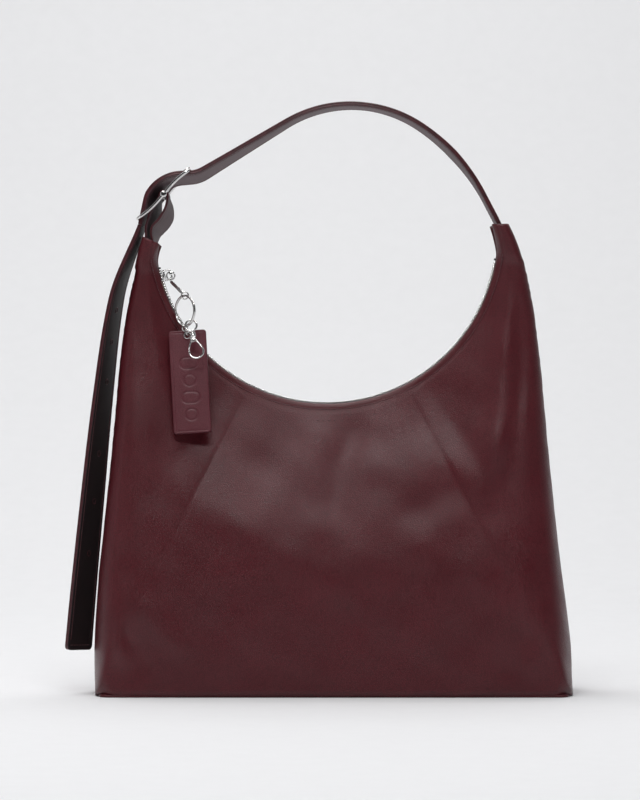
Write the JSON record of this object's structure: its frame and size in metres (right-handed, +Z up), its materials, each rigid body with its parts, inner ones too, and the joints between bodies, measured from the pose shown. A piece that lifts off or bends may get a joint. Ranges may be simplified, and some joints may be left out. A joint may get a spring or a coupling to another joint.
{
  "type": "hobo bag",
  "caption": "Slouchy leather hobo bag with a deep crescent zip mouth, one buckled shoulder strap with a hanging tail, and a leather hang tag on a ring and swivel clasp.",
  "frame": {"origin": "on the surface the bag stands on, at the middle of its flat base", "axes": "+X to the wearer's right across the front, +Y to the back, +Z up to the shoulder strap"},
  "size_m": [0.3759, 0.096, 0.4429],
  "materials": {
    "leather": "pebbled, semi-gloss",
    "strap_backing": "suede-like backing",
    "lining": "woven cotton",
    "board": "matte",
    "tape": "woven",
    "nickel": "polished",
    "label": "smooth"
  },
  "bodies": {
    "bag": {"front_panel": "leather", "back_panel": "leather", "base_panel": "leather", "lining_front": "lining", "lining_back": "lining", "base_board": "board", "zip_tape_front": "tape", "zip_tape_back": "tape", "zip_teeth_front": "nickel", "zip_teeth_back": "nickel", "zip_end_stops": "nickel", "left_strap_root": "leather", "right_strap_root": "leather", "zip_pocket": "lining", "pocket_zip_tape": "tape", "pocket_zip_teeth": "nickel", "slip_pocket": "lining", "inner_label": "label"},
    "slider": {"zip_slider": "nickel"},
    "link": {"slider_ring": "nickel"},
    "pull": {"puller_bar": "nickel"},
    "ring": {"key_ring": "nickel"},
    "tag": {"tag": "leather", "tag_ring": "nickel"},
    "clasp": {"clasp_loop": "nickel"},
    "hook": {"clasp_barrel": "nickel", "clasp_hook": "nickel", "clasp_gate_pin": "nickel"},
    "gate": {"clasp_gate": "nickel"},
    "strap": {"strap_outer": "leather", "strap_lining": "strap_backing", "buckle_loop": "strap_backing", "buckle_frame": "nickel", "buckle_bar": "nickel"},
    "prong": {"buckle_prong": "nickel"},
    "tail": {"tail_outer": "leather", "tail_lining": "strap_backing"},
    "pocket_slider": {"pocket_zip_slider": "nickel"},
    "pocket_pull": {"pocket_pull": "leather"}
  },
  "joints": [
    {"name": "zip_travel", "type": "hinge", "parent": "bag", "child": "slider", "pos_m": [-0.0034, 0, 0.346], "axis": [0, -1, 0], "range_deg": [0, 154]},
    {"name": "pull_hang", "type": "hinge", "parent": "slider", "child": "link", "pos_m": [-0.12028, 0, 0.31468], "axis": [0, -1, 0], "range_deg": [-155, 2]},
    {"name": "pull_lift", "type": "hinge", "parent": "link", "child": "pull", "pos_m": [-0.12028, -0.0065, 0.31013], "axis": [-1, 0, 0], "range_deg": [0, 16]},
    {"name": "ring_swing", "type": "hinge", "parent": "pull", "child": "ring", "pos_m": [-0.1091, -0.02, 0.2978], "axis": [0, 1, 0], "range_deg": [-15, 15]},
    {"name": "tag_swing", "type": "hinge", "parent": "ring", "child": "tag", "pos_m": [-0.10961, -0.01939, 0.27503], "axis": [0, 1, 0], "range_deg": [-12, 12]},
    {"name": "clasp_swing", "type": "hinge", "parent": "ring", "child": "clasp", "pos_m": [-0.10459, -0.02538, 0.27742], "axis": [0, 1, 0], "range_deg": [-20, 20]},
    {"name": "clasp_swivel", "type": "hinge", "parent": "clasp", "child": "hook", "pos_m": [-0.10429, -0.02568, 0.27532], "axis": [-0.1843, 0.2588, 0.9482], "continuous": true},
    {"name": "clasp_gate_open", "type": "hinge", "parent": "hook", "child": "gate", "pos_m": [-0.1037, -0.02858, 0.26441], "axis": [-0.0494, -0.9659, 0.2541], "range_deg": [0, 22], "stiffness_Nm_per_rad": 0.002},
    {"name": "strap_swing", "type": "hinge", "parent": "bag", "child": "strap", "pos_m": [0, 0, 0.352], "axis": [1, 0, 0], "range_deg": [-12, 12], "stiffness_Nm_per_rad": 0.6},
    {"name": "tail_swing", "type": "hinge", "parent": "strap", "child": "tail", "pos_m": [-0.1428, 0, 0.34921], "axis": [0, 1, 0], "range_deg": [0, 70]},
    {"name": "prong_lift", "type": "hinge", "parent": "strap", "child": "prong", "pos_m": [-0.12525, 0, 0.3737], "axis": [0, -1, 0], "range_deg": [0, 18]},
    {"name": "pocket_zip_travel", "type": "slide", "parent": "bag", "child": "pocket_slider", "axis": [1, 0, 0], "range_m": [0, 0.116]},
    {"name": "pocket_pull_swing", "type": "hinge", "parent": "pocket_slider", "child": "pocket_pull", "pos_m": [-0.058, 0.00663, 0.12505], "axis": [-1, 0, 0], "range_deg": [0, 60]}
  ],
  "couplings": [
    {"joint": "pull_hang", "follows": "zip_travel", "ratio": -1},
    {"joint": "pull_lift", "follows": "zip_travel", "ratio": 0.1}
  ]
}
